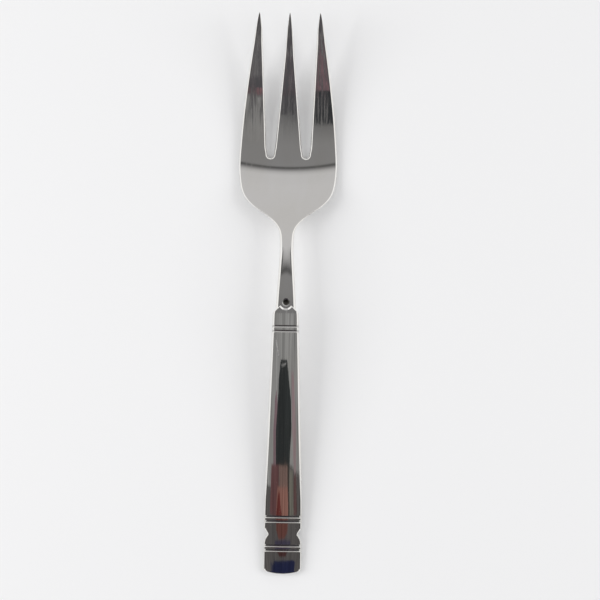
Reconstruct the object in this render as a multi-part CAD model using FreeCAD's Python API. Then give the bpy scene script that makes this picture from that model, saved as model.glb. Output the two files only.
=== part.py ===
import FreeCAD, Part
import os
from math import sqrt
from FreeCAD import Vector

# A three-tined serving fork, stamped and struck from one blank of plated metal.
# It lies on its back: X across the fork, Y along it with the tips at +Y, Z up.
# A station is a distance along Y from the butt end of the handle.

# Stations along the fork
overall_length = 220.0
taper_start = 24.0
plate_length = 104.2
dimple_station = 107.4
neck_station = 119.0
narrowest_station = 132.0
heel_station = 157.0
widest_station = 160.5
crotch_station = 164.2

# Heights of the underside above the table
mid_handle_height = 3.9
neck_height = 9.3
mid_tine_height = 5.0
tip_height = 16.2

# Thicknesses of the metal
butt_thickness = 2.7
plate_thickness = 3.5
plate_back_step = 0.25
shank_thickness = 2.7
heel_thickness = 2.0
tip_thickness = 1.2

# Widths across the fork
butt_width = 15.1
plate_front_width = 10.2
shank_front_width = 7.7
shank_width = 5.4
bowl_width = 38.8
blade_tip_width = 24.6

# Crowned, dished and eased surfaces
plate_crown_radius = 30.0
shank_crown = 0.25
bowl_dish = 0.8
plate_bevel_width = 0.9
plate_bevel_height = 1.1
shank_edge_width = 0.85
bowl_edge_width = 0.35
under_edge_chamfer = 0.35

# Gaps between the tines: a round crotch, a short flare, then straight walls
gap_root_offset = 7.0
crotch_round = 1.38
gap_flare = 0.47
gap_flare_length = 2.85

# Drawn points of the tines
point_length = 6.3
point_width = 2.16
point_blunting = 1.1
point_fullness = 0.42
outer_tip_inset = 0.5

# Bracket at the front of the handle plate, round a dimple
dimple_radius = 1.5
dimple_depth = 0.5
bay_radius = 2.25
bay_half_width = 2.05
shoulder_setback = 0.4
wing_rise = 0.95
bracket_bevel = 0.7

# Lines struck across the handle, in three pairs
line_width = 1.15
line_depth = 0.32
line_pitch = 1.85
line_pair_stations = [10.3, 21.8, 97.0]

# Notches in both sides near the butt
notch_station = 15.6
notch_depth = 1.6
notch_front_run = 2.2
notch_back_run = 4.2

# Butt end
butt_bow = 0.8
butt_corner_radius = 1.3

# How far the blank runs back under the plate, the plate runs past its own trimmed ends,
# and a cutter reaches past what it trims
blank_underlap = 16.0
plate_overrun = 4.0
cut_clear = 0.05
cut_reach = 5.0

# Spacing of the sections that the blank and the plate are lofted through
blank_section_step = 2.2
plate_section_step = 7.0


def smooth_through(points):
    """Natural cubic spline through (station, value) points, as a function of station."""
    xs = [p[0] for p in points]
    ys = [p[1] for p in points]
    last = len(points) - 1
    gaps = [xs[i + 1] - xs[i] for i in range(last)]
    rises = [(ys[i + 1] - ys[i]) / gaps[i] for i in range(last)]
    ratio = [0.0] * (last + 1)
    right = [0.0] * (last + 1)
    bend = [0.0] * (last + 1)
    for i in range(1, last):
        pivot = 2.0 * (gaps[i - 1] + gaps[i]) - gaps[i - 1] * ratio[i - 1]
        ratio[i] = gaps[i] / pivot
        right[i] = (6.0 * (rises[i] - rises[i - 1]) - gaps[i - 1] * right[i - 1]) / pivot
    for i in range(last - 1, 0, -1):
        bend[i] = right[i] - ratio[i] * bend[i + 1]

    def value(x):
        i = 0
        while i < last - 1 and x > xs[i + 1]:
            i += 1
        a = (xs[i + 1] - x) / gaps[i]
        b = 1.0 - a
        curve = (a ** 3 - a) * bend[i] + (b ** 3 - b) * bend[i + 1]
        return a * ys[i] + b * ys[i + 1] + curve * gaps[i] ** 2 / 6.0

    return value


def between(start, end, share):
    return start + (end - start) * share


def eased(share):
    """Zero below 0, one above 1, and three squares less two cubes between them."""
    held = min(max(share, 0.0), 1.0)
    return held ** 2 * (3.0 - 2.0 * held)


def in_bowl(share):
    return between(narrowest_station, heel_station, share)


def on_tines(share):
    return between(heel_station, overall_length, share)


# Side view: the underside rises from the butt to the neck, drops to the heel and
# lifts along the tines. The metal thins from the shank to the tips.
underside = smooth_through([
    (0.0, plate_back_step),
    (0.43 * plate_length, mid_handle_height),
    (0.86 * plate_length, 0.885 * neck_height),
    (neck_station, neck_height),
    (between(neck_station, narrowest_station, 0.58), 0.978 * neck_height),
    (in_bowl(0.15), 0.84 * neck_height),
    (in_bowl(0.54), 0.34 * neck_height),
    (in_bowl(0.81), 0.055 * neck_height),
    (heel_station, 0.0),
    (on_tines(0.13), 0.026 * tip_height),
    (on_tines(0.33), 0.115 * tip_height),
    (on_tines(0.56), mid_tine_height),
    (overall_length, tip_height)])
blank_thickness = smooth_through([
    (0.0, shank_thickness),
    (neck_station, shank_thickness),
    (in_bowl(0.3), between(shank_thickness, heel_thickness, 0.2)),
    (in_bowl(0.75), between(shank_thickness, heel_thickness, 0.8)),
    (heel_station, heel_thickness),
    (overall_length, tip_thickness)])

# Plan view: half widths of the blank. The bowl swells in an ogee from the narrowest
# part of the shank, then the outer tines draw in by a power law towards their tips.
shank_front = dimple_station - 1.0
ogee_shares = [(0.09, 0.015), (0.19, 0.09), (0.33, 0.34), (0.43, 0.59), (0.60, 0.87), (0.78, 0.968)]
blade_shares = [0.11, 0.27, 0.44, 0.60, 0.76, 0.92, 1.0]
half_width = smooth_through(
    [(plate_length - blank_underlap, 0.54 * shank_front_width),
     (shank_front, 0.5 * shank_front_width),
     (between(shank_front, narrowest_station, 0.3), 0.5 * between(shank_front_width, shank_width, 0.38)),
     (between(shank_front, narrowest_station, 0.65), 0.5 * between(shank_front_width, shank_width, 0.88)),
     (narrowest_station, 0.5 * shank_width)]
    + [(between(narrowest_station, widest_station, along), 0.5 * between(shank_width, bowl_width, out))
       for along, out in ogee_shares]
    + [(widest_station, 0.5 * bowl_width)]
    + [(between(widest_station, overall_length, along),
        0.5 * between(bowl_width, blade_tip_width, along ** 1.5))
       for along in blade_shares])
blank_crown = smooth_through([
    (plate_length - blank_underlap, shank_crown),
    (dimple_station, shank_crown),
    (neck_station, shank_crown),
    (narrowest_station, 0.8 * shank_crown),
    (in_bowl(0.3), -0.35 * bowl_dish),
    (in_bowl(0.66), -bowl_dish),
    (heel_station, -0.75 * bowl_dish),
    (on_tines(0.4), -0.35 * bowl_dish),
    (overall_length, -0.1 * bowl_dish)])


def edge_width(station):
    """Width of the eased upper edge, which fines down from the shank to the bowl."""
    fining_start = between(neck_station, narrowest_station, 0.5)
    fining_end = in_bowl(0.45)
    fined = eased((station - fining_start) / (fining_end - fining_start))
    return between(shank_edge_width, bowl_edge_width, fined)


def curved_edge(start, pull, end):
    """Parabolic arc that leaves start and reaches end along lines to the pull point."""
    arc = Part.BezierCurve()
    arc.setPoles([start, pull, end])
    return arc.toShape()


def section(station, half, base, thickness, crown, hollow, edge, edge_drop):
    """Closed cross-section: bowed top and underside, upright walls, eased upper corners
    and chamfered lower ones."""
    top_side = base + thickness - crown
    low_side = base + hollow
    inner_top = half - edge
    inner_low = half - under_edge_chamfer
    wall_top = top_side - edge_drop
    wall_low = low_side + under_edge_chamfer
    ease_x = half - 0.3 * edge
    ease_z = between(wall_top, top_side, 0.7)

    def at(x, z):
        return Vector(x, station, z)

    return Part.Wire([
        curved_edge(at(-inner_low, low_side), at(0, base - hollow), at(inner_low, low_side)),
        Part.makeLine(at(inner_low, low_side), at(half, wall_low)),
        Part.makeLine(at(half, wall_low), at(half, wall_top)),
        curved_edge(at(half, wall_top), at(ease_x, ease_z), at(inner_top, top_side)),
        curved_edge(at(inner_top, top_side), at(0, top_side + 2.0 * crown), at(-inner_top, top_side)),
        curved_edge(at(-inner_top, top_side), at(-ease_x, ease_z), at(-half, wall_top)),
        Part.makeLine(at(-half, wall_top), at(-half, wall_low)),
        Part.makeLine(at(-half, wall_low), at(-inner_low, low_side))])


def blank_section(station):
    crown = blank_crown(station)
    edge = edge_width(station)
    return section(station, half_width(station), underside(station), blank_thickness(station),
                   crown, max(-crown, 0.0), edge, edge)


# Handle plate: parallel near the butt and then a straight taper to the bracket, with a
# crowned top, a bevel along each side and a flat back.
plate_half_width = smooth_through(
    [(-plate_overrun, 0.5 * butt_width), (0.4 * taper_start, 0.5 * butt_width)]
    + [(between(taper_start, plate_length, share), 0.5 * between(butt_width, plate_front_width, share))
       for share in (0.15, 0.4, 0.7, 1.0)])
plate_depth = smooth_through([
    (-plate_overrun, butt_thickness),
    (0.35 * plate_length, between(butt_thickness, plate_thickness, 0.8)),
    (plate_length, plate_thickness)])


def plate_base(station):
    return underside(station) - plate_back_step


def plate_crown(station):
    return (plate_half_width(station) - plate_bevel_width) ** 2 / (2.0 * plate_crown_radius)


def plate_section(station):
    return section(station, plate_half_width(station), plate_base(station), plate_depth(station),
                   plate_crown(station), 0.0, plate_bevel_width, plate_bevel_height)


def plate_top(station):
    return plate_base(station) + plate_depth(station)


def upright(wire, high):
    """Solid on a closed plan outline, from under the fork up to a height."""
    face = Part.Face(wire)
    face.translate(Vector(0, 0, -cut_reach))
    return face.extrude(Vector(0, 0, high + cut_reach))


def spaced(start, end, step):
    count = max(2, round((end - start) / step))
    return [between(start, end, i / count) for i in range(count + 1)]


blank_stations = spaced(plate_length - blank_underlap, overall_length, blank_section_step)
blank = Part.makeLoft([blank_section(s) for s in blank_stations], True, False)
plate_stations = spaced(-plate_overrun, plate_length + plate_overrun, plate_section_step)
plate = Part.makeLoft([plate_section(s) for s in plate_stations], True, False)


def bracket_outline(bevel, height):
    """Plan of the plate's front: two wings that rise to cusps beside a round bay."""
    radius = bay_radius + bevel
    cusp_x = bay_half_width + 0.55 * bevel
    cusp_y = dimple_station - sqrt(radius ** 2 - cusp_x ** 2)
    side = 0.5 * plate_front_width + cut_clear
    shoulder_y = plate_length - shoulder_setback - bevel
    wing_pull_y = shoulder_y + wing_rise
    wing_pull_x = side - 0.3 * wing_rise
    wide = butt_width
    back = -4.0 * plate_overrun

    def at(x, y):
        return Vector(x, y, height)

    bay = Part.Arc(at(-cusp_x, cusp_y), at(0, dimple_station - radius), at(cusp_x, cusp_y)).toShape()
    return Part.Wire([
        Part.makeLine(at(-wide, back), at(-wide, shoulder_y)),
        Part.makeLine(at(-wide, shoulder_y), at(-side, shoulder_y)),
        curved_edge(at(-side, shoulder_y), at(-wing_pull_x, wing_pull_y), at(-cusp_x, cusp_y)),
        bay,
        curved_edge(at(cusp_x, cusp_y), at(wing_pull_x, wing_pull_y), at(side, shoulder_y)),
        Part.makeLine(at(side, shoulder_y), at(wide, shoulder_y)),
        Part.makeLine(at(wide, shoulder_y), at(wide, back)),
        Part.makeLine(at(wide, back), at(-wide, back))])


shank_top = underside(dimple_station) + shank_thickness
step_low = shank_top - 2.0 * cut_clear
step_high = plate_top(plate_length) + cut_clear
bracket_body = upright(bracket_outline(0.0, 0.0), step_low)
bracket_slope = Part.makeLoft([bracket_outline(0.0, step_low), bracket_outline(bracket_bevel, step_high)],
                              True, True)
plate = plate.common(bracket_body.fuse(bracket_slope))
fork = blank.fuse(plate)

ball_radius = (dimple_radius ** 2 + dimple_depth ** 2) / (2.0 * dimple_depth)
ball_centre = Vector(0, dimple_station, shank_top + ball_radius - dimple_depth)
fork = fork.cut(Part.makeSphere(ball_radius, ball_centre))


# Struck lines: a round-bottomed cut that follows the crown and runs down both bevels,
# which bulge a little past their straight slope
line_round = ((0.5 * line_width) ** 2 + line_depth ** 2) / (2.0 * line_depth)
bevel_bulge = 0.09 * plate_bevel_height


def struck_line(station):
    lift = line_round - line_depth
    top = plate_top(station)
    edge_x = plate_half_width(station) - plate_bevel_width
    edge_z = top - plate_crown(station)
    crown_cut = Part.makeTorus(plate_crown_radius + lift, line_round,
                               Vector(0, station, top - plate_crown_radius), Vector(0, 1, 0))
    cutters = [crown_cut]
    for side in (-1.0, 1.0):
        along = Vector(side * plate_bevel_width, 0, -plate_bevel_height)
        along.normalize()
        out = Vector(side * plate_bevel_height, 0, plate_bevel_width)
        out.normalize()
        start = Vector(side * edge_x, station, edge_z) + out * (lift + bevel_bulge) - along * line_depth
        length = 1.2 * (plate_bevel_height + plate_bevel_width)
        cutters.append(Part.makeCylinder(line_round, length, start, along))
    return cutters


for pair_station in line_pair_stations:
    for offset in (-0.5 * line_pitch, 0.5 * line_pitch):
        for cutter in struck_line(pair_station + offset):
            fork = fork.cut(cutter)


def notch_outline(side):
    """Plan of a side notch: a short scooped front flank and a long back one that curves
    out to the side."""
    half = plate_half_width(notch_station)
    back_end = notch_station - notch_back_run
    front_end = notch_station + notch_front_run

    def at(x, station):
        return Vector(side * x, station, 0)

    point = at(half - notch_depth, notch_station)
    back = at(half + cut_clear, back_end)
    far_back = at(half + notch_depth, back_end)
    far_front = at(half + notch_depth, front_end)
    front = at(half + cut_clear, front_end)
    back_pull = at(half - 0.1 * notch_depth, notch_station - 0.35 * notch_back_run)
    front_pull = at(half - 0.75 * notch_depth, notch_station + 0.7 * notch_front_run)
    return Part.Wire([curved_edge(front, front_pull, point), curved_edge(point, back_pull, back),
                      Part.makeLine(back, far_back), Part.makeLine(far_back, far_front),
                      Part.makeLine(far_front, front)])


for side in (-1.0, 1.0):
    fork = fork.cut(upright(notch_outline(side), 2.0 * tip_height))


def butt_outline():
    """Plan of all that stays in front of the butt: a shallow bow with rounded corners."""
    half = 0.5 * butt_width + 0.5 * cut_clear
    wide = 2.0 * bowl_width
    far = 2.0 * overall_length
    corner_end = butt_bow + butt_corner_radius
    corner_pull = butt_bow + 0.2 * butt_corner_radius

    def at(x, y):
        return Vector(x, y, 0)

    bow_left = at(-half + butt_corner_radius, butt_bow)
    bow_right = at(half - butt_corner_radius, butt_bow)
    return Part.Wire([
        Part.Arc(bow_left, at(0, 0), bow_right).toShape(),
        curved_edge(bow_right, at(half, corner_pull), at(half, corner_end)),
        Part.makeLine(at(half, corner_end), at(wide, corner_end)),
        Part.makeLine(at(wide, corner_end), at(wide, far)),
        Part.makeLine(at(wide, far), at(-wide, far)),
        Part.makeLine(at(-wide, far), at(-wide, corner_end)),
        Part.makeLine(at(-wide, corner_end), at(-half, corner_end)),
        curved_edge(at(-half, corner_end), at(-half, corner_pull), bow_left)])


fork = fork.common(upright(butt_outline(), 2.0 * tip_height))

# Gaps between the tines and the drawn points at their ends
point_start = overall_length - point_length
blunt_station = overall_length - point_blunting
beyond = overall_length + cut_reach
outer_tip_x = 0.5 * blade_tip_width - outer_tip_inset
outer_point_x = outer_tip_x - 0.5 * point_width


def gap_wall(root_x, point_x, side):
    """One straight wall of a gap, joined to the crotch by a short flare that ends in line."""
    flared_x = root_x + (gap_flare if point_x > root_x else -gap_flare)
    root = crotch_station + crotch_round
    flared = root + gap_flare_length
    third = gap_flare_length / 3.0
    lean = (point_x - flared_x) / (point_start - flared)

    def at(x, station):
        return Vector(side * x, station, 0)

    flare = Part.BezierCurve()
    flare.setPoles([at(root_x, root), at(root_x, root + third),
                    at(flared_x - lean * third, flared - third), at(flared_x, flared)])
    return [flare.toShape(), Part.makeLine(at(flared_x, flared), at(point_x, point_start))]


def gap_outline(side):
    """Plan of a gap: round crotch, flared walls, and the points' curves to either tip."""
    root = crotch_station + crotch_round
    inner_x = gap_root_offset - crotch_round
    outer_x = gap_root_offset + crotch_round

    def at(x, station):
        return Vector(side * x, station, 0)

    crotch = Part.Arc(at(inner_x, root), at(gap_root_offset, crotch_station), at(outer_x, root))
    inner_pull_x = 0.5 * point_fullness * point_width
    outer_pull_x = between(outer_tip_x, outer_point_x, point_fullness)
    return Part.Wire(
        [crotch.toShape()]
        + gap_wall(outer_x, outer_point_x, side)
        + [curved_edge(at(outer_point_x, point_start), at(outer_pull_x, blunt_station),
                       at(outer_tip_x, overall_length)),
           Part.makeLine(at(outer_tip_x, overall_length), at(outer_tip_x, beyond)),
           Part.makeLine(at(outer_tip_x, beyond), at(0, beyond)),
           Part.makeLine(at(0, beyond), at(0, overall_length)),
           curved_edge(at(0, overall_length), at(inner_pull_x, blunt_station),
                       at(0.5 * point_width, point_start))]
        + gap_wall(inner_x, 0.5 * point_width, side)[::-1])


def outside_outline(side):
    """Plan of what is trimmed off outside an outer tine's point."""
    edge_x = half_width(point_start)
    pull_x = between(outer_tip_x, edge_x, point_fullness)
    trim_start = point_start - 4.0 * cut_clear
    trim_x = edge_x + cut_clear

    def at(x, station):
        return Vector(side * x, station, 0)

    return Part.Wire([
        Part.makeLine(at(outer_tip_x, beyond), at(outer_tip_x, overall_length)),
        curved_edge(at(outer_tip_x, overall_length), at(pull_x, blunt_station), at(trim_x, trim_start)),
        Part.makeLine(at(trim_x, trim_start), at(bowl_width, trim_start)),
        Part.makeLine(at(bowl_width, trim_start), at(bowl_width, beyond)),
        Part.makeLine(at(bowl_width, beyond), at(outer_tip_x, beyond))])


for side in (-1.0, 1.0):
    fork = fork.cut(upright(gap_outline(side), 2.0 * tip_height))
    fork = fork.cut(upright(outside_outline(side), 2.0 * tip_height))

os.makedirs("parts", exist_ok=True)
fork.translate(Vector(0, -overall_length / 2, 0))
fork.exportStep("parts/serving_fork.step")
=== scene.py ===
from math import radians

import bmesh
import bpy
import numpy as np
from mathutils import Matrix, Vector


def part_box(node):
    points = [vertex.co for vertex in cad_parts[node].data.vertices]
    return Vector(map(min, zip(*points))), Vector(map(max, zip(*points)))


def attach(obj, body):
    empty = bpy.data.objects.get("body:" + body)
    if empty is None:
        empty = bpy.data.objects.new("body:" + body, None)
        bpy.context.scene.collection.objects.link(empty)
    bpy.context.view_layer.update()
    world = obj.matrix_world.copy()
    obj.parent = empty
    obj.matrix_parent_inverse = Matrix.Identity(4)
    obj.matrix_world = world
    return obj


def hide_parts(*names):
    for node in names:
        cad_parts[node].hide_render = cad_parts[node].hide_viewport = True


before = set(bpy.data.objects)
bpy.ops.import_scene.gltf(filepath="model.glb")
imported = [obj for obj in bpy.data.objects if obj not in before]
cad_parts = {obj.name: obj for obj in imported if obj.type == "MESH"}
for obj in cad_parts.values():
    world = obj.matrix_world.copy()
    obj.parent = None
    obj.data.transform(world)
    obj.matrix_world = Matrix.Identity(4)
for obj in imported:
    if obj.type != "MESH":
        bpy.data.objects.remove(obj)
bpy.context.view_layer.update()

# The blank: the whole fork is one strip of nickel silver or steel, plated with silver. It is
# rolled thin towards the tips, stamped to its outline and pressed to its bow, and it lies on
# its back. Sizes are in millimetres, and stations are counted from the butt's end.
MM = 0.001
fork_low, fork_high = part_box("serving_fork")
overall_length = (fork_high.y - fork_low.y) / MM
bowl_width = (fork_high.x - fork_low.x) / MM

plate_length = 104.2
dimple_station = 107.4
neck_station = 119.0
narrowest_station = 132.0
heel_station = 157.0
widest_station = 160.5

plate_back_step = 0.25
mid_handle_height = 3.9
neck_height = 9.3
mid_tine_height = 5.0
tip_height = 16.2

shank_thickness = 2.7
heel_thickness = 2.0
tip_thickness = 1.2

shank_front_width = 7.7
shank_width = 5.4
blade_tip_width = 24.6

shank_crown = 0.25
bowl_dish = 0.8
shank_edge_width = 0.85
bowl_edge_width = 0.6


def between(start, end, share):
    """The start plus a share of the way to the end."""
    return start + (end - start) * share


def smooth_through(points):
    """Natural cubic spline through (station, value) points, as a function of station.

    Its second slopes at the inner points solve the three-term equations of the spline,
    and are nothing at both ends."""
    at, value = np.array(points, float).T
    gap = np.diff(at)
    inner = np.arange(1, len(at) - 1)
    system = np.eye(len(at))
    system[inner, inner - 1] = gap[:-1]
    system[inner, inner] = 2 * (gap[:-1] + gap[1:])
    system[inner, inner + 1] = gap[1:]
    turn = np.zeros(len(at))
    turn[inner] = 6 * np.diff(np.diff(value) / gap)
    bend = np.linalg.solve(system, turn)

    def curve(station):
        """The cubic of the gap that holds the station, from the shares of the way to go and gone."""
        i = np.clip(np.searchsorted(at, station) - 1, 0, len(gap) - 1)
        a = (at[i + 1] - station) / gap[i]
        b = 1 - a
        bow = (a ** 3 - a) * bend[i] + (b ** 3 - b) * bend[i + 1]
        return a * value[i] + b * value[i + 1] + bow * gap[i] ** 2 / 6

    return curve


def in_bowl(share):
    """Station at a share of the way from the narrowest place to the heel."""
    return between(narrowest_station, heel_station, share)


def on_tines(share):
    """Station at a share of the way from the heel to the tips."""
    return between(heel_station, overall_length, share)


underside = smooth_through([
    (0, plate_back_step), (0.43 * plate_length, mid_handle_height),
    (0.86 * plate_length, 0.885 * neck_height), (neck_station, neck_height),
    (between(neck_station, narrowest_station, 0.58), 0.978 * neck_height),
    (in_bowl(0.15), 0.84 * neck_height), (in_bowl(0.54), 0.34 * neck_height),
    (in_bowl(0.81), 0.055 * neck_height), (heel_station, 0),
    (on_tines(0.13), 0.026 * tip_height), (on_tines(0.33), 0.115 * tip_height),
    (on_tines(0.56), mid_tine_height), (overall_length, tip_height)])
blank_thickness = smooth_through([
    (0, shank_thickness), (neck_station, shank_thickness),
    (in_bowl(0.3), between(shank_thickness, heel_thickness, 0.2)),
    (in_bowl(0.75), between(shank_thickness, heel_thickness, 0.8)),
    (heel_station, heel_thickness), (overall_length, tip_thickness)])
blank_start = plate_length - 16
shank_front = dimple_station - 1
bowl_swell = [(0.09, 0.015), (0.19, 0.09), (0.33, 0.34), (0.43, 0.59), (0.60, 0.87), (0.78, 0.968)]
half_width = smooth_through(
    [(blank_start, 0.54 * shank_front_width), (shank_front, 0.5 * shank_front_width),
     (between(shank_front, narrowest_station, 0.3), 0.5 * between(shank_front_width, shank_width, 0.38)),
     (between(shank_front, narrowest_station, 0.65), 0.5 * between(shank_front_width, shank_width, 0.88)),
     (narrowest_station, 0.5 * shank_width)]
    + [(between(narrowest_station, widest_station, along), 0.5 * between(shank_width, bowl_width, out))
       for along, out in bowl_swell]
    + [(widest_station, 0.5 * bowl_width)]
    + [(between(widest_station, overall_length, along),
        0.5 * between(bowl_width, blade_tip_width, along ** 1.5))
       for along in [0.11, 0.27, 0.44, 0.60, 0.76, 0.92, 1.0]])
blank_crown = smooth_through([
    (blank_start, shank_crown), (dimple_station, shank_crown), (neck_station, shank_crown),
    (narrowest_station, 0.8 * shank_crown), (in_bowl(0.3), -0.35 * bowl_dish),
    (in_bowl(0.66), -bowl_dish), (heel_station, -0.75 * bowl_dish),
    (on_tines(0.4), -0.35 * bowl_dish), (overall_length, -0.1 * bowl_dish)])
edge_wide_end = between(neck_station, narrowest_station, 0.5)
edge_fine_start = in_bowl(0.45)


def eased(share):
    """Zero below 0, one above 1, and three squares less two cubes between them."""
    held = np.clip(share, 0, 1)
    return held ** 2 * (3 - 2 * held)


def blank_shape(station):
    """Half width, base, thickness, crown, dish, edge width and edge drop of the blank."""
    crown = blank_crown(station)
    narrowed = eased((station - edge_wide_end) / (edge_fine_start - edge_wide_end))
    edge = between(shank_edge_width, bowl_edge_width, narrowed)
    return (half_width(station), underside(station), blank_thickness(station), crown,
            np.maximum(-crown, 0), edge, edge)


# Half sections: every row across the fork is one closed section, and only its right half is
# worked out, from the middle of the top round the side to the middle of the back. The real
# fork's edges are eased on a belt, also those under it.
under_edge_round = 0.6
corner_pull_in = 0.3
corner_pull_up = 0.7


def bezier(share, start, pull, end):
    """Parabolic arc: the start, pull and end weighted by (1-t)^2, 2t(1-t) and t^2."""
    return start * (1 - share) ** 2 + 2 * pull * share * (1 - share) + end * share ** 2


centre_steps = np.linspace(0, 1, 13)
gap_steps = np.linspace(0, 1, 11)[1:]
outer_steps = np.linspace(0, 1, 15)[1:]
gap_turns = np.pi * gap_steps
corner_turns = np.linspace(0, 1, 7)[1:]
wall_steps = np.array([0.5, 1.0])
under_turns = np.array([0.25, 0.5, 0.75])
over_gap = slice(len(centre_steps), len(centre_steps) + len(gap_steps))
face_count = over_gap.stop + len(outer_steps)
side_count = len(corner_turns) + len(wall_steps) + len(under_turns)
TOP = slice(0, face_count)
SIDE = slice(face_count, face_count + side_count)
BACK = slice(face_count + side_count, 2 * face_count + side_count)


def column_shares(inner, outer):
    """Shares of the half width for one face: even steps to the tine's edge, over the gap
    and over the outer tine, with inner and outer as the shares where the gap begins and ends."""
    inner = np.reshape(inner, (-1, 1))
    outer = np.reshape(outer, (-1, 1))
    return np.hstack([inner * centre_steps, between(inner, outer, gap_steps),
                      between(outer, 1, outer_steps)])


def side_profile(half, top_side, low_side, edge, drop, under):
    """One side from face to face: a parabolic eased corner, an upright wall, a round below."""
    wall_top = top_side - drop
    wall_low = low_side + under
    n = len(corner_turns)
    m = n + len(wall_steps)
    pull_x = half - corner_pull_in * edge
    pull_z = wall_top + corner_pull_up * drop
    x = np.hstack([bezier(corner_turns, (half - edge)[:, :n], pull_x[:, :n], half[:, :n]),
                   half[:, n:m],
                   bezier(under_turns, half[:, m:], half[:, m:], (half - under)[:, m:])])
    z = np.hstack([bezier(corner_turns, top_side[:, :n], pull_z[:, :n], wall_top[:, :n]),
                   between(wall_top[:, n:m], wall_low[:, n:m], wall_steps),
                   bezier(under_turns, wall_low[:, m:], low_side[:, m:], low_side[:, m:])])
    return x, z


def half_section(shares, station, shape):
    """Half of the closed section at each point's own station, as rows of x and z.

    The top is a parabola over the half width inside the eased edge, the back a shallower
    one, and the side profile joins them."""
    half, base, thickness, crown, hollow, edge, drop = shape(station)
    top_side = base + thickness - crown
    low_side = base + hollow
    back_shares = shares[:, ::-1]
    side_x, side_z = side_profile(half[:, SIDE], top_side[:, SIDE], low_side[:, SIDE],
                                  edge[:, SIDE], drop[:, SIDE], under_edge_round)
    back_half = half[:, BACK] - under_edge_round
    x = np.hstack([shares * (half - edge)[:, TOP], side_x, back_shares * back_half])
    z = np.hstack([top_side[:, TOP] + crown[:, TOP] * (1 - shares ** 2), side_z,
                   low_side[:, BACK] - hollow[:, BACK] * (1 - back_shares ** 2)])
    return x, z


# Handle plate: the same blank, left thicker and struck in a die that gives it a crowned face
# between two bevels, three pairs of lines right across, and a bowed butt with round corners.
# The two notches are filed into its sides.
taper_start = 24.0
butt_width = 15.1
plate_front_width = 10.2
butt_thickness = 2.7
plate_thickness = 3.5
plate_crown_radius = 30.0
plate_bevel_width = 0.9
plate_bevel_height = 1.1
butt_bow = 0.8
butt_bow_run = 6.0
butt_corner_radius = 1.3
butt_edge_round = 0.45

notch_station = 15.6
notch_depth = 1.6
notch_front_run = 2.2
notch_back_run = 4.2
notch_edge_width = 0.45
notch_edge_drop = 0.5

line_width = 1.15
line_depth = 0.32
line_pitch = 1.85
line_pair_stations = [10.3, 21.8, 97.0]
front_bend_length = 5.5
handle_row_step = 0.9

# On the side a line leans inwards, and keeps these shares of its depth from the edge down
line_side_lean = 0.77
line_side_depth = np.concatenate([np.linspace(0.95, 0.7, len(corner_turns)), [0.2, 0, 0, 0, 0]])

plate_half_width = smooth_through(
    [(-4, 0.5 * butt_width), (0.4 * taper_start, 0.5 * butt_width)]
    + [(between(taper_start, plate_length, share), 0.5 * between(butt_width, plate_front_width, share))
       for share in (0.15, 0.4, 0.7, 1.0)])
plate_depth = smooth_through([
    (-4, butt_thickness), (0.35 * plate_length, between(butt_thickness, plate_thickness, 0.8)),
    (plate_length, plate_thickness)])


def notch_inset(station):
    """How far the side notches stand in: each flank is a parabolic arc from the deepest point."""
    share = np.linspace(0, 1, 25)
    back_pull = notch_station - 0.35 * notch_back_run
    back = bezier(share, notch_station, back_pull, notch_station - notch_back_run)
    back_inset = bezier(share, notch_depth, 0.1 * notch_depth, 0)
    front_pull = notch_station + 0.7 * notch_front_run
    front = bezier(share, notch_station, front_pull, notch_station + notch_front_run)
    front_inset = bezier(share, notch_depth, 0.75 * notch_depth, 0)
    flanks = np.concatenate([back[:0:-1], front])
    return np.interp(station, flanks, np.concatenate([back_inset[:0:-1], front_inset]))


def plate_shape(station):
    """Half width, base, thickness, crown, dish, edge width and edge drop of the handle plate.

    The crown is an arc of constant radius. At the butt the corners are quarter circles in
    plan, and both faces turn down to the end in quarter circles too."""
    inset = notch_inset(station)
    corner = np.clip(1 - station / butt_corner_radius, 0, 1)
    half = plate_half_width(station) - inset - butt_corner_radius * (1 - np.sqrt(1 - corner ** 2))
    bare = eased(inset / plate_bevel_width)
    edge = between(plate_bevel_width, notch_edge_width, bare)
    drop = between(plate_bevel_height, notch_edge_drop, bare)
    end = np.clip(1 - station / butt_edge_round, 0, 1)
    turned = butt_edge_round * (1 - np.sqrt(1 - end ** 2))
    crown = (half - edge) ** 2 / (2 * plate_crown_radius)
    return (half, underside(station) - plate_back_step + turned, plate_depth(station) - 2 * turned,
            crown, 0 * half, edge, drop)


def line_cut(station):
    """Depth of the struck lines: a circular arc across each, none between them."""
    round_radius = ((0.5 * line_width) ** 2 + line_depth ** 2) / (2 * line_depth)
    cut = np.zeros(np.shape(station))
    for pair in line_pair_stations:
        for offset in (-0.5 * line_pitch, 0.5 * line_pitch):
            away = np.minimum(np.abs(station - pair - offset), 0.5 * line_width)
            cut = cut + np.sqrt(round_radius ** 2 - away ** 2) - (round_radius - line_depth)
    return cut


def rows_between(stations, step):
    """Rows at every given station, with even rows no further apart than step between them."""
    parts = [np.linspace(a, b, max(2, int(np.ceil((b - a) / step)) + 1))[:-1]
             for a, b in zip(stations[:-1], stations[1:])]
    return np.concatenate(parts + [[stations[-1]]])


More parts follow.
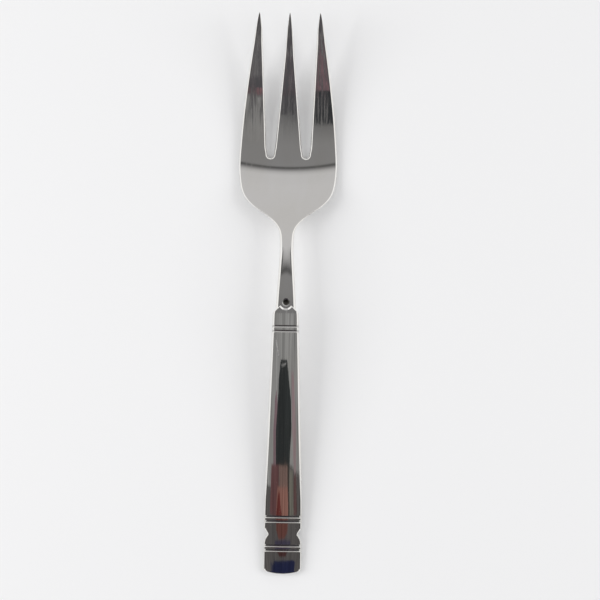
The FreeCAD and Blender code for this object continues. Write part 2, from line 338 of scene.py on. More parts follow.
# Rows across the handle close up over the butt's round, the lines and the notches
line_rows = [pair + offset + across * 0.5 * line_width
             for pair in line_pair_stations for offset in (-0.5 * line_pitch, 0.5 * line_pitch)
             for across in (-1.04, -1, -0.84, -0.66, -0.46, -0.24, 0, 0.24, 0.46, 0.66, 0.84, 1, 1.04)]
butt_rows = butt_corner_radius * (1 - np.cos(np.linspace(0, 0.5 * np.pi, 14)))
notch_rows = np.concatenate([np.linspace(notch_station - notch_back_run, notch_station, 17),
                             np.linspace(notch_station, notch_station + notch_front_run, 9)])
bow_rows = [4, 6, 8]
straight_end = plate_length - front_bend_length
marks = np.concatenate([line_rows, butt_rows, notch_rows, bow_rows, [straight_end]])
marks = np.unique(np.round(marks, 4))
handle_s = rows_between(marks, handle_row_step)[:, None] + np.zeros(BACK.stop)
plate_shares = column_shares(inner=0.36, outer=0.58)
shares = np.repeat(plate_shares, len(handle_s), axis=0)
handle_x, handle_z = half_section(shares, handle_s, plate_shape)
cut = line_cut(handle_s)
cut_share = np.concatenate([np.ones(face_count), line_side_depth, np.zeros(face_count)])
lean = np.concatenate([np.zeros(face_count), np.full(side_count, line_side_lean), np.zeros(face_count)])
handle_x = handle_x - cut * cut_share * lean
handle_z = handle_z - cut * cut_share * np.sqrt(1 - lean ** 2)
bow_reach = 0.5 * butt_width - butt_corner_radius
bow_left = 1 - eased((handle_s - butt_corner_radius) / butt_bow_run)
bow = butt_bow * np.minimum(handle_x / bow_reach, 1) ** 2 * bow_left
handle = np.stack([handle_x, handle_s + bow, handle_z], axis=2)

# Bracket: the plate ends in a struck step down to the shank, drawn in plan as a round bay
# about the dimple, two cusps and two curved wings, with a bevel along its edge.
bay_radius = 2.4
bay_half_width = 2.05
bracket_bevel = 0.85
shoulder_setback = 1.4
wing_bevel_share = 1.4
wing_rise = 0.95
wing_pull_inset = 0.3
wing_overhang = 0.05
cusp_bevel_share = 0.55
step_sink = 0.1
step_rise = 0.05
step_drop_share = 0.85


def bracket(x, bevel):
    """Plan of the plate's front: a round bay about the dimple, a cusp, and a curved wing.

    The bay is a circle about the dimple. The wing is a parabolic arc from the shoulder to the
    cusp, and each x is turned into the arc's share by solving its quadratic."""
    radius = bay_radius + bevel
    cusp_x = bay_half_width + cusp_bevel_share * bevel
    cusp_y = dimple_station - np.sqrt(radius ** 2 - cusp_x ** 2)
    side = 0.5 * plate_front_width + wing_overhang
    shoulder_y = plate_length - shoulder_setback - wing_bevel_share * bevel
    reach = np.clip(x, cusp_x, side)
    pull_x = side - wing_pull_inset
    a = side - 2 * pull_x + cusp_x
    b = 2 * (pull_x - side)
    share = (-b - np.sqrt(b ** 2 - 4 * a * (side - reach))) / (2 * a)
    wing = bezier(share, shoulder_y, shoulder_y + wing_rise, cusp_y)
    bay = dimple_station - np.sqrt(np.maximum(radius ** 2 - np.minimum(x, cusp_x) ** 2, 0))
    return np.where(x < cusp_x, bay, wing)


# The plate's last rows bend to the bracket's plan, whose edge slopes down to the shank
step_low = underside(dimple_station) + shank_thickness - step_sink
step_high = underside(plate_length) - plate_back_step + plate_thickness + step_rise
front_x, front_z = half_section(plate_shares, np.full((1, BACK.stop), plate_length), plate_shape)
bracket_slope = np.clip((front_z - step_low) / (step_high - step_low), 0, 1)
front_y = bracket(front_x, bracket_bevel * bracket_slope)
front_s = between(straight_end, front_y, np.linspace(0, 1, 9)[1:, None])
front_x, front_z = half_section(np.repeat(plate_shares, len(front_s), axis=0), front_s, plate_shape)
plate_front = np.stack([front_x, front_s, front_z], axis=2)

shank_shares = column_shares(inner=0.42, outer=0.68)
foot_x = half_section(shank_shares, np.full((1, BACK.stop), dimple_station - 2), blank_shape)[0]
foot_s = bracket(foot_x, 0)
foot_x, foot_z = half_section(shank_shares, foot_s, blank_shape)
foot = np.stack([foot_x, foot_s, foot_z], axis=2)
edge = plate_front[-1:]
edge_drop = step_drop_share * bracket_slope[-1:] * (step_high - step_low)
lip_foot = np.stack([edge[..., 0], bracket(edge[..., 0], 0), edge[..., 2] - edge_drop], axis=2)
thirds = np.linspace(0, 1, 4)[1:, None, None]
step = np.vstack([between(edge, lip_foot, thirds), between(lip_foot, foot, thirds[:-1])])

# Shank and bowl: the blank narrows to the neck and widens into a shallow bowl, and a dimple
# is punched into it inside the bracket's bay. Rows from the bracket's foot run straight past
# the dimple, and the last ones bend round the crotches of the two gaps.
dimple_radius = 1.5
dimple_depth = 0.5
dimple_flare = 1.15
crotch_station = 164.2
crotch_round = 1.38
gap_centre = 7.0
gap_edge_round = 0.55
gap_reach = crotch_round + gap_edge_round
root_station = crotch_station + crotch_round
shank_start = dimple_station + 4.6
crotch_start = crotch_station - 7
bowl_row_step = 0.55
shank_s = between(foot_s, shank_start, np.linspace(0, 1, 44)[1:, None])
bowl_s = rows_between([shank_start, in_bowl(0.05), crotch_start], bowl_row_step)[1:, None]
bowl_s = bowl_s + np.zeros(BACK.stop)
root_y = np.full(face_count, root_station)
root_y[over_gap] = root_station - gap_reach * np.sin(gap_turns)
root_half = half_width(root_station) - bowl_edge_width
root_x = np.concatenate([(gap_centre - gap_reach) * centre_steps,
                         gap_centre - gap_reach * np.cos(gap_turns),
                         between(gap_centre + gap_reach, root_half, outer_steps)])
root_shares = (root_x / (half_width(root_y) - bowl_edge_width))[None]
root_s = np.concatenate([root_y, np.full(side_count, root_station), root_y[::-1]])
even_shares = column_shares((gap_centre - gap_reach) / root_half, (gap_centre + gap_reach) / root_half)
crotch_steps = np.linspace(0, 1, 19)[1:, None]
crotch_s = between(crotch_start, root_s, crotch_steps)
flow = eased((bowl_s[:, :1] - neck_station) / (crotch_start - neck_station))
blank_s = np.vstack([shank_s, bowl_s, crotch_s])
blank_shares = np.vstack([np.repeat(shank_shares, len(shank_s), axis=0),
                          between(shank_shares, even_shares, flow),
                          between(even_shares, root_shares, crotch_steps)])
blank_x, blank_z = half_section(blank_shares, blank_s, blank_shape)

# The dimple's depth is one less the square of the share of its radius, raised to its flare
from_dimple = np.hypot(blank_x, blank_s - dimple_station) / dimple_radius
hollowed = dimple_depth * np.clip(1 - from_dimple ** 2, 0, 1) ** dimple_flare
blank_z[:, TOP] = blank_z[:, TOP] - hollowed[:, TOP]
blank = np.stack([blank_x, blank_s, blank_z], axis=2)
body = np.vstack([handle, plate_front, step, foot, blank])

# Tines: two gaps are stamped out of the blank and filed. Each has straight walls that draw
# in to a round crotch, with worn edges, and the three tines are filed to blunted points.
gap_flare = 0.47
gap_flare_length = 2.85
point_length = 6.3
point_width = 2.16
point_blunting = 1.1
point_fullness = 0.42
outer_tip_inset = 0.5
tip_round = 0.8
centre_ease_share = 0.28
outer_ease_share = 0.15
outer_soft_share = 0.16
tine_row_step = 0.85
point_start = overall_length - point_length
blunt_station = overall_length - point_blunting
outer_tip = 0.5 * blade_tip_width - outer_tip_inset
turns = np.linspace(0, 1, 25)
tip_turns = bezier(turns, point_start, blunt_station, overall_length)


def gap_wall(root_x, point_x, tip_x):
    """One wall of a gap as a function of station.

    A cubic arc leaves the crotch along the fork and ends in line with the straight wall,
    which runs to where the point begins, and a parabolic arc closes the point."""
    out = np.sign(root_x - gap_centre)
    flared_x = root_x + out * gap_flare
    flared_s = root_station + gap_flare_length
    third = gap_flare_length / 3
    lean = (point_x - flared_x) / (point_start - flared_s)
    arc_x = (root_x * (1 - turns) ** 3 + 3 * root_x * turns * (1 - turns) ** 2
             + 3 * (flared_x - lean * third) * turns ** 2 * (1 - turns) + flared_x * turns ** 3)
    stations = np.concatenate([root_station + gap_flare_length * turns, tip_turns])
    point = bezier(turns, point_x, between(tip_x, point_x, point_fullness), tip_x)
    walls = np.concatenate([arc_x, point])
    return lambda station: np.interp(station, stations, walls)


inner_wall = gap_wall(gap_centre - crotch_round, 0.5 * point_width, 0)
outer_wall = gap_wall(gap_centre + crotch_round, outer_tip - 0.5 * point_width, outer_tip)


def blade_edge(station):
    """Outer edge of an outer tine: the blank's own, then a parabolic point."""
    edge = half_width(point_start)
    edge_x = bezier(turns, edge, between(outer_tip, edge, point_fullness), outer_tip)
    return np.where(station < point_start, half_width(station), np.interp(station, tip_turns, edge_x))


tine_s = np.concatenate([rows_between([root_station, point_start], tine_row_step), tip_turns[1:]])
blunt_steps = 1 - np.sin(np.linspace(0, 0.5 * np.pi, 9))
tine_s = np.concatenate([tine_s, between(overall_length, blunt_station, blunt_steps)])
tine_s = np.unique(tine_s)[:, None]
point_close = np.clip((tine_s - overall_length + tip_round) / tip_round, 0, 1)
closing = np.sqrt(1 - point_close ** 2)
tine_half, tine_base, tine_thick, tine_crown, tine_hollow, tine_edge = blank_shape(tine_s)[:6]


def tine_faces(x):
    """Heights of both faces at x: the blank's own parabolas, drawn together at the point."""
    top = tine_base + tine_thick - tine_crown * (x / (tine_half - tine_edge)) ** 2
    back = tine_base + tine_hollow * (x / (tine_half - under_edge_round)) ** 2
    middle = 0.5 * (top + back)
    return between(middle, top, closing), between(middle, back, closing)


rim_out = np.array([0.4, 0.8, 1, 1, 1, 0.8, 0.4])
rim_fall = np.array([0.32, 0.64, 1, 0, 1, 0.64, 0.32])
rim_share_of_wall = 0.45


def rim(top, back, ease):
    """Heights down a gap's wall: a worn chamfer, the wall, and a chamfer below.

    Each chamfer falls by the ease times its fall, and by less where the wall is low."""
    low = np.minimum(ease, rim_share_of_wall * (top - back))
    heights = [top - low * rim_fall[:3], 0.5 * (top + back), back + low * rim_fall[4:]]
    return np.hstack(heights)


def stack(x, z, station):
    """Grid of points from rows of x and z, each row at its own station."""
    return np.stack([x, station + 0 * x, z], axis=2)


centre_wall = inner_wall(tine_s)
centre_ease = np.minimum(gap_edge_round, centre_ease_share * centre_wall)
centre_face_x = (centre_wall - centre_ease) * centre_steps
centre_top, centre_back = tine_faces(centre_face_x)
centre_rim_x = centre_wall - centre_ease + centre_ease * rim_out
centre_rim_z = rim(centre_top[:, -1:], centre_back[:, -1:], centre_ease)
centre_x = np.hstack([centre_face_x, centre_rim_x, centre_face_x[:, ::-1]])
centre_z = np.hstack([centre_top, centre_rim_z, centre_back[:, ::-1]])
centre_tine = stack(centre_x, centre_z, tine_s)

wall_x = outer_wall(tine_s)
edge_x = blade_edge(tine_s)
ease = np.minimum(gap_edge_round, outer_ease_share * (edge_x - wall_x))
soft = np.minimum(bowl_edge_width, outer_soft_share * (edge_x - wall_x))
face_x = between(wall_x + ease, edge_x - soft, np.concatenate([[0], outer_steps]))
face_top, face_back = tine_faces(face_x)
lip = np.minimum(soft, rim_share_of_wall * (face_top - face_back)[:, -1:])
wide = np.zeros((1, side_count))
side_x, side_z = side_profile(edge_x + wide, face_top[:, -1:] + wide, face_back[:, -1:] + wide,
                              soft + wide, lip + wide, lip + wide)
rim_x = wall_x + ease - ease * rim_out
rim_z = rim(face_top[:, :1], face_back[:, :1], ease)
outer_x = np.hstack([face_x, side_x, face_x[:, ::-1], rim_x[:, ::-1], face_x[:, :1]])
outer_z = np.hstack([face_top, side_z, face_back[:, ::-1], rim_z[:, ::-1], face_top[:, :1]])
outer_tine = stack(outer_x, outer_z, tine_s)

# Crotch: the round end of a gap, filed as a half circle between the centre tine and an outer
# one. Its worn edges meet the bowl's last row of points above and below.
round_gap = slice(over_gap.start - 1, over_gap.stop)
arc = np.concatenate([[0], gap_turns])[:, None]
arc_top = body[-1, round_gap, 2][:, None]
arc_back = body[-1, BACK, 2][::-1][round_gap][:, None]
arc_reach = gap_reach - gap_edge_round * np.concatenate([[0], rim_out, [0]])
crotch = np.stack([gap_centre - arc_reach * np.cos(arc), root_station - arc_reach * np.sin(arc),
                   np.hstack([arc_top, rim(arc_top, arc_back, gap_edge_round), arc_back])], axis=2)

# Butt end: the strip is sheared off here and its corners are eased. A flat joins the first
# rows of the two faces, and the first row of each side fans in to it.
end_top = body[0, TOP]
end_back = body[0, BACK][::-1]
butt_flat = np.stack([end_back, end_top])
end_side = np.vstack([end_back[-1:], body[0, SIDE][::-1]])
butt_side = np.stack([end_side, np.repeat(end_top[-1:], len(end_side), axis=0)])

# Whole fork: one piece of metal with no joint in it. The left half mirrors the right one, with
# its columns reversed so that its faces point outwards too, and the points where the parts of
# the surface meet are merged.
join_distance = 0.002
sharp_turn = 28


def quads(grid, first):
    """Vertices and four-cornered faces of a grid of points, rows by columns."""
    rows, columns = grid.shape[:2]
    number = first + np.arange(rows * columns).reshape(rows, columns)
    corners = [number[:-1, :-1], number[:-1, 1:], number[1:, 1:], number[1:, :-1]]
    return grid.reshape(-1, 3), np.stack([c.ravel() for c in corners], axis=1)


half_grids = [body, centre_tine, outer_tine, crotch.transpose(1, 0, 2), butt_flat, butt_side]
points = []
faces = []
count = 0
for grid in half_grids + [grid[:, ::-1] * (-1, 1, 1) for grid in half_grids]:
    grid_points, grid_faces = quads(grid, count)
    points.append(grid_points)
    faces.append(grid_faces)
    count += len(grid_points)
points = np.vstack(points)
points[:, 1] -= 0.5 * overall_length
mesh = bpy.data.meshes.new("fork")
mesh.from_pydata(points * MM, [], np.vstack(faces).tolist())
joined = bmesh.new()
joined.from_mesh(mesh)
bmesh.ops.remove_doubles(joined, verts=joined.verts, dist=join_distance * MM)
joined.to_mesh(mesh)
joined.free()
mesh.polygons.foreach_set("use_smooth", np.ones(len(mesh.polygons), bool))
mesh.set_sharp_from_angle(angle=radians(sharp_turn))
fork = bpy.data.objects.new("fork", mesh)
bpy.context.scene.collection.objects.link(fork)

# Dark tarnish stays where no cloth reaches: in the dimple, in the struck lines and at the
# foot of the bracket. It is held as a number at each vertex of the mesh.
spot_shift = 0.12
spot_half_width = 1.5
spot_half_length = 1.3
spot_reach = 1.12
spot_edge = 2.6
foot_band_shift = 0.15
foot_band = 0.4
foot_tarnish = 0.45
line_tarnish = 0.3
place = np.empty(3 * len(mesh.vertices))
mesh.vertices.foreach_get("co", place)
place = place.reshape(-1, 3) / MM
place_s = place[:, 1] + 0.5 * overall_length
on_top = place[:, 2] > underside(place_s) + 0.5 * blank_thickness(place_s)
from_spot = np.hypot((place[:, 0] - spot_shift) / spot_half_width,
                     (place_s - dimple_station + spot_shift) / spot_half_length)
in_dimple = eased(spot_edge * (spot_reach - from_spot))
off_axis = np.abs(place[:, 0])
foot_away = np.abs(place_s - bracket(off_axis, 0) - foot_band_shift)
at_foot = foot_tarnish * np.clip(1 - foot_away / foot_band, 0, 1) * (off_axis < bay_half_width)
in_lines = line_tarnish * eased(line_cut(place_s) / line_depth)
tarnish = mesh.attributes.new("tarnish", "FLOAT", "POINT")
tarnish.data.foreach_set("value", on_top * np.maximum(np.maximum(in_dimple, at_foot), in_lines))

# The tines are drawn through food and across plates, so their tops are the most rubbed. The
# rubbing starts past the heel and grows along the roots of the tines.
wear_start = heel_station + 8
wear_run = 22
rubbed = eased((place_s - wear_start) / wear_run)
wear = mesh.attributes.new("wear", "FLOAT", "POINT")
wear.data.foreach_set("value", on_top * rubbed)

# Silver plate: laid on the metal in a bath, polished lengthwise, and wiped and scratched in
# use. Its places and lengths are in metres, as the material's Object coordinates are.
silver_tone = (0.88, 0.87, 0.85, 1)
clouded_tone = (0.85, 0.835, 0.80, 1)
tarnish_tone = (0.055, 0.053, 0.046, 1)
scratch_place = (-0.0031, -0.0205, 0)
scratch_turn = 10
scratch_core = 0.0001
scratch_half_width = 0.00032
scratch_full_length = 0.0025
scratch_half_length = 0.0042
polish_depth = 0.0000022


def polished_plate():
    """Bright silver plate over a wiped and worn surface.

    Clouded noise turns the tone and the gloss a little, long narrow noise gives the
    lengthwise polishing marks and crossed narrow noise the fine scratches of use. One old
    scratch lies across the plate behind the bracket. The tarnish number darkens the tone,
    and the wear number roughens the gloss along the tines."""
    material = bpy.data.materials.new("polished_plate")
    material.use_nodes = True
    nodes = material.node_tree.nodes
    links = material.node_tree.links
    shader = nodes["Principled BSDF"]
    shader.inputs["Metallic"].default_value = 1.0
    where = nodes.new("ShaderNodeTexCoord").outputs["Object"]

    def noise(scale, turn, detail):
        """Noise drawn out by its scale and turned about the upright axis."""
        spread = nodes.new("ShaderNodeMapping")
        spread.inputs["Rotation"].default_value = (0, 0, radians(turn))
        spread.inputs["Scale"].default_value = scale
        links.new(where, spread.inputs["Vector"])
        cloud = nodes.new("ShaderNodeTexNoise")
        cloud.inputs["Scale"].default_value = 1.0
        cloud.inputs["Detail"].default_value = detail
        links.new(spread.outputs["Vector"], cloud.inputs["Vector"])
        return cloud.outputs["Fac"]

    def ranged(value, low, high, to_low, to_high):
        """A value's range from low to high carried evenly to another range and held there."""
        reach = nodes.new("ShaderNodeMapRange")
        reach.inputs["From Min"].default_value = low
        reach.inputs["From Max"].default_value = high
        reach.inputs["To Min"].default_value = to_low
        reach.inputs["To Max"].default_value = to_high
        links.new(value, reach.inputs["Value"])
        return reach.outputs["Result"]

    def combined(operation, first, second):
        """The sum, product or size of two values, each a number or a socket."""
        step = nodes.new("ShaderNodeMath")
        step.operation = operation
        for socket, value in zip(step.inputs, (first, second)):
            if isinstance(value, float):
                socket.default_value = value
            else:
                links.new(value, socket)
        return step.outputs[0]

    def mixed(share, first, second):
        """The first tone turned to the second by a share."""
        blend = nodes.new("ShaderNodeMix")
        blend.data_type = "RGBA"
        links.new(share, blend.inputs["Factor"])
        for socket, value in ((blend.inputs["A"], first), (blend.inputs["B"], second)):
            if isinstance(value, tuple):
                socket.default_value = value
            else:
                links.new(value, socket)
        return blend.outputs["Result"]

    def held(name):
        """The number that the mesh's vertices hold under a name."""
        attribute = nodes.new("ShaderNodeAttribute")
        attribute.attribute_name = name
        return attribute.outputs["Fac"]

    clouds = noise((90, 45, 90), 0, 3)
    polish = noise((2200, 38, 400), 0, 2)
    crossed = noise((1900, 60, 400), 38, 2)
    hairs = ranged(crossed, 0.62, 0.66, 0.0, 1.0)
    dark = held("tarnish")

    # The old scratch: a thin band about a slanted line, faded out towards its two ends
    spread = nodes.new("ShaderNodeMapping")
    spread.vector_type = "TEXTURE"
    spread.inputs["Location"].default_value = scratch_place
    spread.inputs["Rotation"].default_value = (0, 0, radians(scratch_turn))
    links.new(where, spread.inputs["Vector"])
    parts = nodes.new("ShaderNodeSeparateXYZ")
    links.new(spread.outputs["Vector"], parts.inputs["Vector"])
    off_line = combined("ABSOLUTE", parts.outputs["X"], 0.0)
    off_middle = combined("ABSOLUTE", parts.outputs["Y"], 0.0)
    across = ranged(off_line, scratch_core, scratch_half_width, 1.0, 0.0)
    along = ranged(off_middle, scratch_full_length, scratch_half_length, 1.0, 0.0)
    scratch = combined("MULTIPLY", across, along)

    silver = mixed(ranged(clouds, 0.35, 0.65, 0.0, 1.0), silver_tone, clouded_tone)
    links.new(mixed(dark, silver, tarnish_tone), shader.inputs["Base Color"])

    # Roughness, in this order: clouds, hair scratches, the old scratch, wear and tarnish
    gloss = combined("ADD", ranged(clouds, 0.3, 0.7, 0.03, 0.055), combined("MULTIPLY", hairs, 0.05))
    gloss = combined("ADD", gloss, combined("MULTIPLY", scratch, 0.5))
    drawn = ranged(noise((1500, 55, 300), 0, 3), 0.50, 0.64, 0.0, 0.16)
    gloss = combined("ADD", gloss, combined("MULTIPLY", held("wear"), drawn))
    links.new(combined("ADD", gloss, combined("MULTIPLY", dark, 0.3)), shader.inputs["Roughness"])
    relief = combined("ADD", polish, combined("MULTIPLY", hairs, -0.25))
    bump = nodes.new("ShaderNodeBump")
    bump.inputs["Distance"].default_value = polish_depth
    links.new(relief, bump.inputs["Height"])
    links.new(bump.outputs["Normal"], shader.inputs["Normal"])
    return material


mesh.materials.append(polished_plate())
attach(fork, "root")
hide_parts("serving_fork")

# The table: a plain pale sheet of paper that the fork lies on. It is not attached to the fork's
# body, so it is no part of the fork's own model.
table_reach = 2
paper_tone = (0.875, 0.875, 0.882, 1)
paper_roughness = 0.9
floor_mesh = bpy.data.meshes.new("table")
floor_corners = [(x * table_reach, y * table_reach, 0) for x, y in [(-1, -1), (1, -1), (1, 1), (-1, 1)]]
floor_mesh.from_pydata(floor_corners, [], [(0, 1, 2, 3)])
floor = bpy.data.objects.new("table", floor_mesh)
bpy.context.scene.collection.objects.link(floor)
paper = bpy.data.materials.new("pale_paper")
paper.use_nodes = True
paper_shader = paper.node_tree.nodes["Principled BSDF"]
paper_shader.inputs["Base Color"].default_value = paper_tone
paper_shader.inputs["Roughness"].default_value = paper_roughness
floor_mesh.materials.append(paper)

# Cards: polished silver is seen by what it mirrors, and only reflections show these. A broad
# ceiling card is pale past the tips, has a dark line over the heel, and is grey over the handle
# and dark past the butt. Dark flags hang at its sides, and a dark screen stands past the butt.
ceiling_height = 0.96
ramp_reach = 0.5
card_grain = (130, 14, 1)
card_detail = 4
dusk = (1.0, 0.96, 1.04)
plain = (1.0, 0.99, 1.0)
ceiling_tones = [
    (-0.40, 0.078, dusk), (-0.30, 0.068, dusk), (-0.178, 0.066, dusk), (-0.160, 0.135, plain),
    (-0.10, 0.17, plain), (-0.04, 0.225, plain), (0.028, 0.23, plain), (0.037, 0.14, plain),
    (0.043, 0.095, plain), (0.052, 0.10, plain), (0.065, 0.20, plain), (0.08, 0.31, plain),
    (0.095, 0.41, plain), (0.115, 0.48, plain), (0.15, 0.54, plain), (0.5, 0.56, plain)]
ceiling_sag = 0.15


def glow(name, tones, cloud_share):
    """A card's light: one tone, or a list of tones along Y, varied by drawn-out noise.

    The tones of a list follow Y less the sag times X squared, so they lie on shallow arcs."""
    material = bpy.data.materials.new(name)
    material.use_nodes = True
    nodes = material.node_tree.nodes
    links = material.node_tree.links
    shader = nodes["Principled BSDF"]
    shader.inputs["Base Color"].default_value = (0, 0, 0, 1)
    shader.inputs["Specular IOR Level"].default_value = 0
    where = nodes.new("ShaderNodeTexCoord").outputs["Object"]
    if isinstance(tones, list):
        parts = nodes.new("ShaderNodeSeparateXYZ")
        links.new(where, parts.inputs["Vector"])
        square = nodes.new("ShaderNodeMath")
        square.operation = "MULTIPLY"
        links.new(parts.outputs["X"], square.inputs[0])
        links.new(parts.outputs["X"], square.inputs[1])
        bowed = nodes.new("ShaderNodeMath")
        bowed.operation = "MULTIPLY_ADD"
        bowed.inputs[1].default_value = -ceiling_sag
        links.new(square.outputs[0], bowed.inputs[0])
        links.new(parts.outputs["Y"], bowed.inputs[2])
        along = nodes.new("ShaderNodeMapRange")
        along.inputs["From Min"].default_value = -ramp_reach
        along.inputs["From Max"].default_value = ramp_reach
        links.new(bowed.outputs[0], along.inputs["Value"])
        ramp = nodes.new("ShaderNodeValToRGB")
        stops = ramp.color_ramp.elements
        while len(stops) < len(tones):
            stops.new(0.5)
        for stop, (y, tone, tint) in zip(stops, tones):
            stop.position = y / (2 * ramp_reach) + 0.5
            stop.color = (*(tone * share for share in tint), 1)
        links.new(along.outputs["Result"], ramp.inputs["Fac"])
        links.new(ramp.outputs["Color"], shader.inputs["Emission Color"])
    else:
        shader.inputs["Emission Color"].default_value = (*tones, 1)
    spread = nodes.new("ShaderNodeMapping")
    spread.inputs["Scale"].default_value = card_grain
    links.new(where, spread.inputs["Vector"])
    cloud = nodes.new("ShaderNodeTexNoise")
    cloud.inputs["Scale"].default_value = 1.0
    cloud.inputs["Detail"].default_value = card_detail
    links.new(spread.outputs["Vector"], cloud.inputs["Vector"])
    level = nodes.new("ShaderNodeMapRange")
    level.inputs["From Min"].default_value = 0.3
    level.inputs["From Max"].default_value = 0.7
    level.inputs["To Min"].default_value = 1 - cloud_share
    level.inputs["To Max"].default_value = 1 + cloud_share
    links.new(cloud.outputs["Fac"], level.inputs["Value"])
    links.new(level.outputs["Result"], shader.inputs["Emission Strength"])
    return material


def hang(name, corners, material):
    """One flat card through its corners, which only reflections show."""
    card_mesh = bpy.data.meshes.new(name)
    card_mesh.from_pydata(corners, [], [tuple(range(len(corners)))])
    card_mesh.materials.append(material)
    card = bpy.data.objects.new(name, card_mesh)
    card.visible_camera = False
    card.visible_diffuse = False
    card.visible_shadow = False
    bpy.context.scene.collection.objects.link(card)


ceiling_corners = [(-0.6, -0.95), (0.6, -0.95), (0.6, 2.6), (-0.6, 2.6)]
hang("ceiling_card", [(x, y, ceiling_height) for x, y in ceiling_corners],
     glow("ceiling_card", ceiling_tones, 0.0))
side_flag_height = ceiling_height - 0.002
side_flag_tone = (0.05, 0.05, 0.05)
side_flag_corners = [(0.36, -0.12), (0.62, -0.12), (0.62, 0.16), (0.42, 0.10)]
for side, name in ((-1, "left_side_flag"), (1, "right_side_flag")):
    hang(name, [(side * x, y, side_flag_height) for x, y in side_flag_corners],
         glow(name, side_flag_tone, 0.0))
screen_station = -0.97
screen_tone = (0.045, 0.046, 0.05)
screen_corners = [(-0.5, 0.01), (0.5, 0.01), (0.5, 0.96), (-0.5, 0.96)]
hang("dark_screen", [(x, screen_station, z) for x, z in screen_corners],
     glow("dark_screen", screen_tone, 0.0))

# Butt cards: two dark cards stand to the left and right, a little past the butt's end, and
# the sides and the eased corners of the butt mirror them.
butt_card_distance = 0.25
butt_card_tone = (0.06, 0.058, 0.06)
butt_card_corners = [(-0.20, 0.0), (-0.122, 0.0), (-0.122, 0.25), (-0.20, 0.25)]
for side, name in ((-1, "left_butt_card"), (1, "right_butt_card")):
    hang(name, [(side * butt_card_distance, y, z) for y, z in butt_card_corners],
         glow(name, butt_card_tone, 0.0))

# Flags: small cards hang low over the handle and past the butt, and narrow ones high under the
# ceiling, where the outer tines mirror them. Each is a little lower than the one before it in
# its list, and so covers it.
handle_flag_height = 0.15
tine_flag_height = ceiling_height - 0.003
flag_drop = 0.0001
flag_cloud_share = 0.32
handle_flags = [
    ("middle_flag", (0.24, 0.24, 0.238),
     [(-0.2, -0.019), (0.2, -0.019), (0.2, -0.125), (0.055, -0.112), (0.03, -0.108),
      (-0.03, -0.108), (-0.055, -0.118), (-0.2, -0.125)]),
    ("lower_flag", (0.085, 0.080, 0.080),
     [(-0.2, -0.125), (-0.055, -0.118), (-0.03, -0.108), (0.03, -0.108), (0.055, -0.112),
      (0.2, -0.125), (0.2, -0.3), (-0.2, -0.3)]),
    ("black_flag", (0.028, 0.031, 0.032),
     [(-0.018, -0.052), (0.008, -0.052), (0.017, -0.065), (0.028, -0.080), (0.030, -0.093),
      (0.025, -0.108), (-0.035, -0.108), (-0.036, -0.093), (-0.030, -0.080), (-0.026, -0.065)]),
    ("pale_slip", (0.21, 0.21, 0.21),
     [(-0.015, -0.055), (0.004, -0.054), (0.004, -0.055), (-0.013, -0.057)]),
    ("right_rose_flag", (0.25, 0.19, 0.20),
     [(0.026, -0.060), (0.035, -0.060), (0.051, -0.094), (0.053, -0.112), (0.045, -0.112),
      (0.034, -0.093)]),
    ("left_rose_flag", (0.165, 0.115, 0.13),
     [(-0.034, -0.071), (-0.030, -0.080), (-0.036, -0.093), (-0.035, -0.110), (-0.045, -0.111),
      (-0.047, -0.094), (-0.041, -0.077)]),
    ("brown_flag", (0.165, 0.11, 0.098),
     [(-0.021, -0.1075), (0.016, -0.1075), (0.019, -0.1165), (-0.017, -0.1165)]),
    ("wine_flag", (0.115, 0.058, 0.060),
     [(-0.054, -0.1085), (-0.021, -0.1075), (-0.020, -0.1185), (-0.031, -0.130), (-0.059, -0.130)]),
    ("rust_flag", (0.24, 0.12, 0.10),
     [(-0.026, -0.1165), (0.020, -0.1165), (0.023, -0.130), (-0.031, -0.130)]),
    ("red_flag", (0.12, 0.031, 0.028),
     [(-0.022, -0.119), (-0.016, -0.1185), (-0.013, -0.123), (-0.004, -0.130), (-0.031, -0.130)]),
    ("dark_rib", (0.042, 0.036, 0.033),
     [(0.016, -0.1075), (0.023, -0.1075), (0.028, -0.130), (0.022, -0.130)]),
    ("green_flag", (0.14, 0.135, 0.118),
     [(0.024, -0.110), (0.040, -0.110), (0.046, -0.130), (0.028, -0.130)]),
    ("right_wine_flag", (0.095, 0.056, 0.056),
     [(0.043, -0.1125), (0.054, -0.1125), (0.062, -0.130), (0.046, -0.130)]),
    ("umber_flag", (0.115, 0.050, 0.043),
     [(-0.032, -0.130), (0.022, -0.130), (0.020, -0.136), (0.008, -0.139), (-0.018, -0.1395),
      (-0.028, -0.136)]),
    ("blue_slip", (0.048, 0.043, 0.068),
     [(-0.034, -0.1405), (0.008, -0.1395), (0.034, -0.1405), (0.032, -0.1445), (-0.036, -0.1445)]),
    ("dark_umber_flag", (0.055, 0.024, 0.023),
     [(-0.028, -0.1445), (0.022, -0.1445), (0.013, -0.1475), (-0.013, -0.1475)]),
    ("navy_flag", (0.016, 0.019, 0.050),
     [(-0.0346, -0.1512), (-0.012, -0.1496), (0.0044, -0.1492), (0.025, -0.1502), (0.0446, -0.1522),
      (0.059, -0.1560), (0.067, -0.162), (0.067, -0.20), (-0.070, -0.20), (-0.068, -0.162),
      (-0.0545, -0.1560), (-0.0455, -0.1544)]),
]
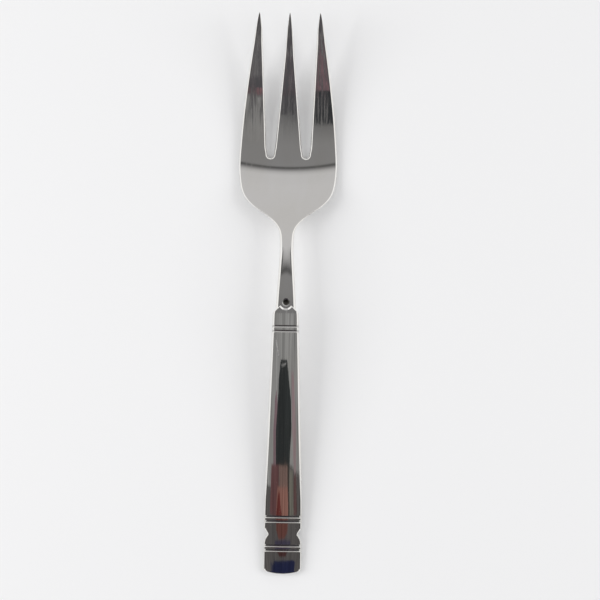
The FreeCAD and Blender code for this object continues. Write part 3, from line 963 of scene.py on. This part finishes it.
tine_flags = [
    ("left_tine_flag", (0.225, 0.222, 0.222),
     [(0.0035, -0.282), (0.0105, -0.298), (0.0125, -0.275), (0.0150, -0.302), (0.035, -0.33),
      (0.035, -0.040), (0.0035, -0.040)]),
    ("left_pink_slip", (0.21, 0.12, 0.132),
     [(0.0035, -0.300), (0.0135, -0.305), (0.0180, -0.335), (0.0140, -0.372), (0.0035, -0.350)]),
    ("left_pale_flag", (0.16, 0.155, 0.158),
     [(0.0125, -0.48), (0.035, -0.40), (0.035, -0.90), (0.0118, -0.90)]),
    ("right_pink_flag", (0.19, 0.115, 0.130),
     [(-0.0250, -0.345), (-0.0248, -0.44), (-0.0258, -0.60), (-0.0275, -0.70), (-0.045, -0.62),
      (-0.050, -0.345)]),
    ("right_dark_flag", (0.034, 0.036, 0.040),
     [(-0.055, -0.335), (-0.030, -0.352), (-0.0255, -0.330), (-0.021, -0.345), (-0.016, -0.33),
      (-0.016, -0.15), (-0.0215, -0.112), (-0.0240, -0.135), (-0.0262, -0.106), (-0.030, -0.125),
      (-0.055, -0.11)]),
]
for flags, height in ((handle_flags, handle_flag_height), (tine_flags, tine_flag_height)):
    for order, (name, tone, corners) in enumerate(flags):
        flag_height = height - flag_drop * order
        hang(name, [(x, y, flag_height) for x, y in corners], glow(name, tone, flag_cloud_share))

# Lamps: two broad soft ones stand left and right of the fork and lean to it, and the left one
# is stronger. They cast the soft shadows, and reflections don't show them.
lamp_distance = 0.95
lamp_height = 0.6
lamp_lean = 58
for name, side, power in (("left_lamp", -1, 6.0), ("right_lamp", 1, 4.0)):
    lamp = bpy.data.lights.new(name, "AREA")
    lamp.shape = "RECTANGLE"
    lamp.size = 0.7
    lamp.size_y = 0.5
    lamp.energy = power
    stand = bpy.data.objects.new(name, lamp)
    stand.location = (side * lamp_distance, 0.0, lamp_height)
    stand.rotation_euler = (0, radians(side * lamp_lean), 0)
    stand.visible_glossy = False
    bpy.context.scene.collection.objects.link(stand)

# The room lights the fork evenly at a plain level, and shows white to the camera and to
# mirrors and glass.
room_strength = 0.62
world = bpy.data.worlds.new("studio")
world.use_nodes = True
nodes = world.node_tree.nodes
links = world.node_tree.links
room = nodes["Background"]
room.inputs["Color"].default_value = (1, 1, 1, 1)
path = nodes.new("ShaderNodeLightPath")
seen = nodes.new("ShaderNodeMath")
seen.operation = "MAXIMUM"
links.new(path.outputs["Is Camera Ray"], seen.inputs[0])
links.new(path.outputs["Is Glossy Ray"], seen.inputs[1])
shown = nodes.new("ShaderNodeMath")
shown.operation = "MAXIMUM"
links.new(seen.outputs[0], shown.inputs[0])
links.new(path.outputs["Is Transmission Ray"], shown.inputs[1])
level = nodes.new("ShaderNodeMapRange")
level.inputs["To Min"].default_value = room_strength
level.inputs["To Max"].default_value = 1.0
links.new(shown.outputs[0], level.inputs["Value"])
links.new(level.outputs["Result"], room.inputs["Strength"])
bpy.context.scene.world = world
bpy.context.scene.view_settings.view_transform = "Standard"

# The camera looks straight down on the table, turned a little, as the photograph does. Its
# height and lens give about 2.53 pixels to the millimetre at the table.
camera_place = (0.0055, -0.0017, 0.9)
camera_roll = 0.85
camera_lens = 136.4
camera = bpy.data.objects.new("camera", bpy.data.cameras.new("camera"))
camera.data.sensor_width = 36
camera.data.lens = camera_lens
camera.location = camera_place
camera.rotation_euler = (0, 0, radians(camera_roll))
bpy.context.scene.collection.objects.link(camera)
bpy.context.scene.camera = camera
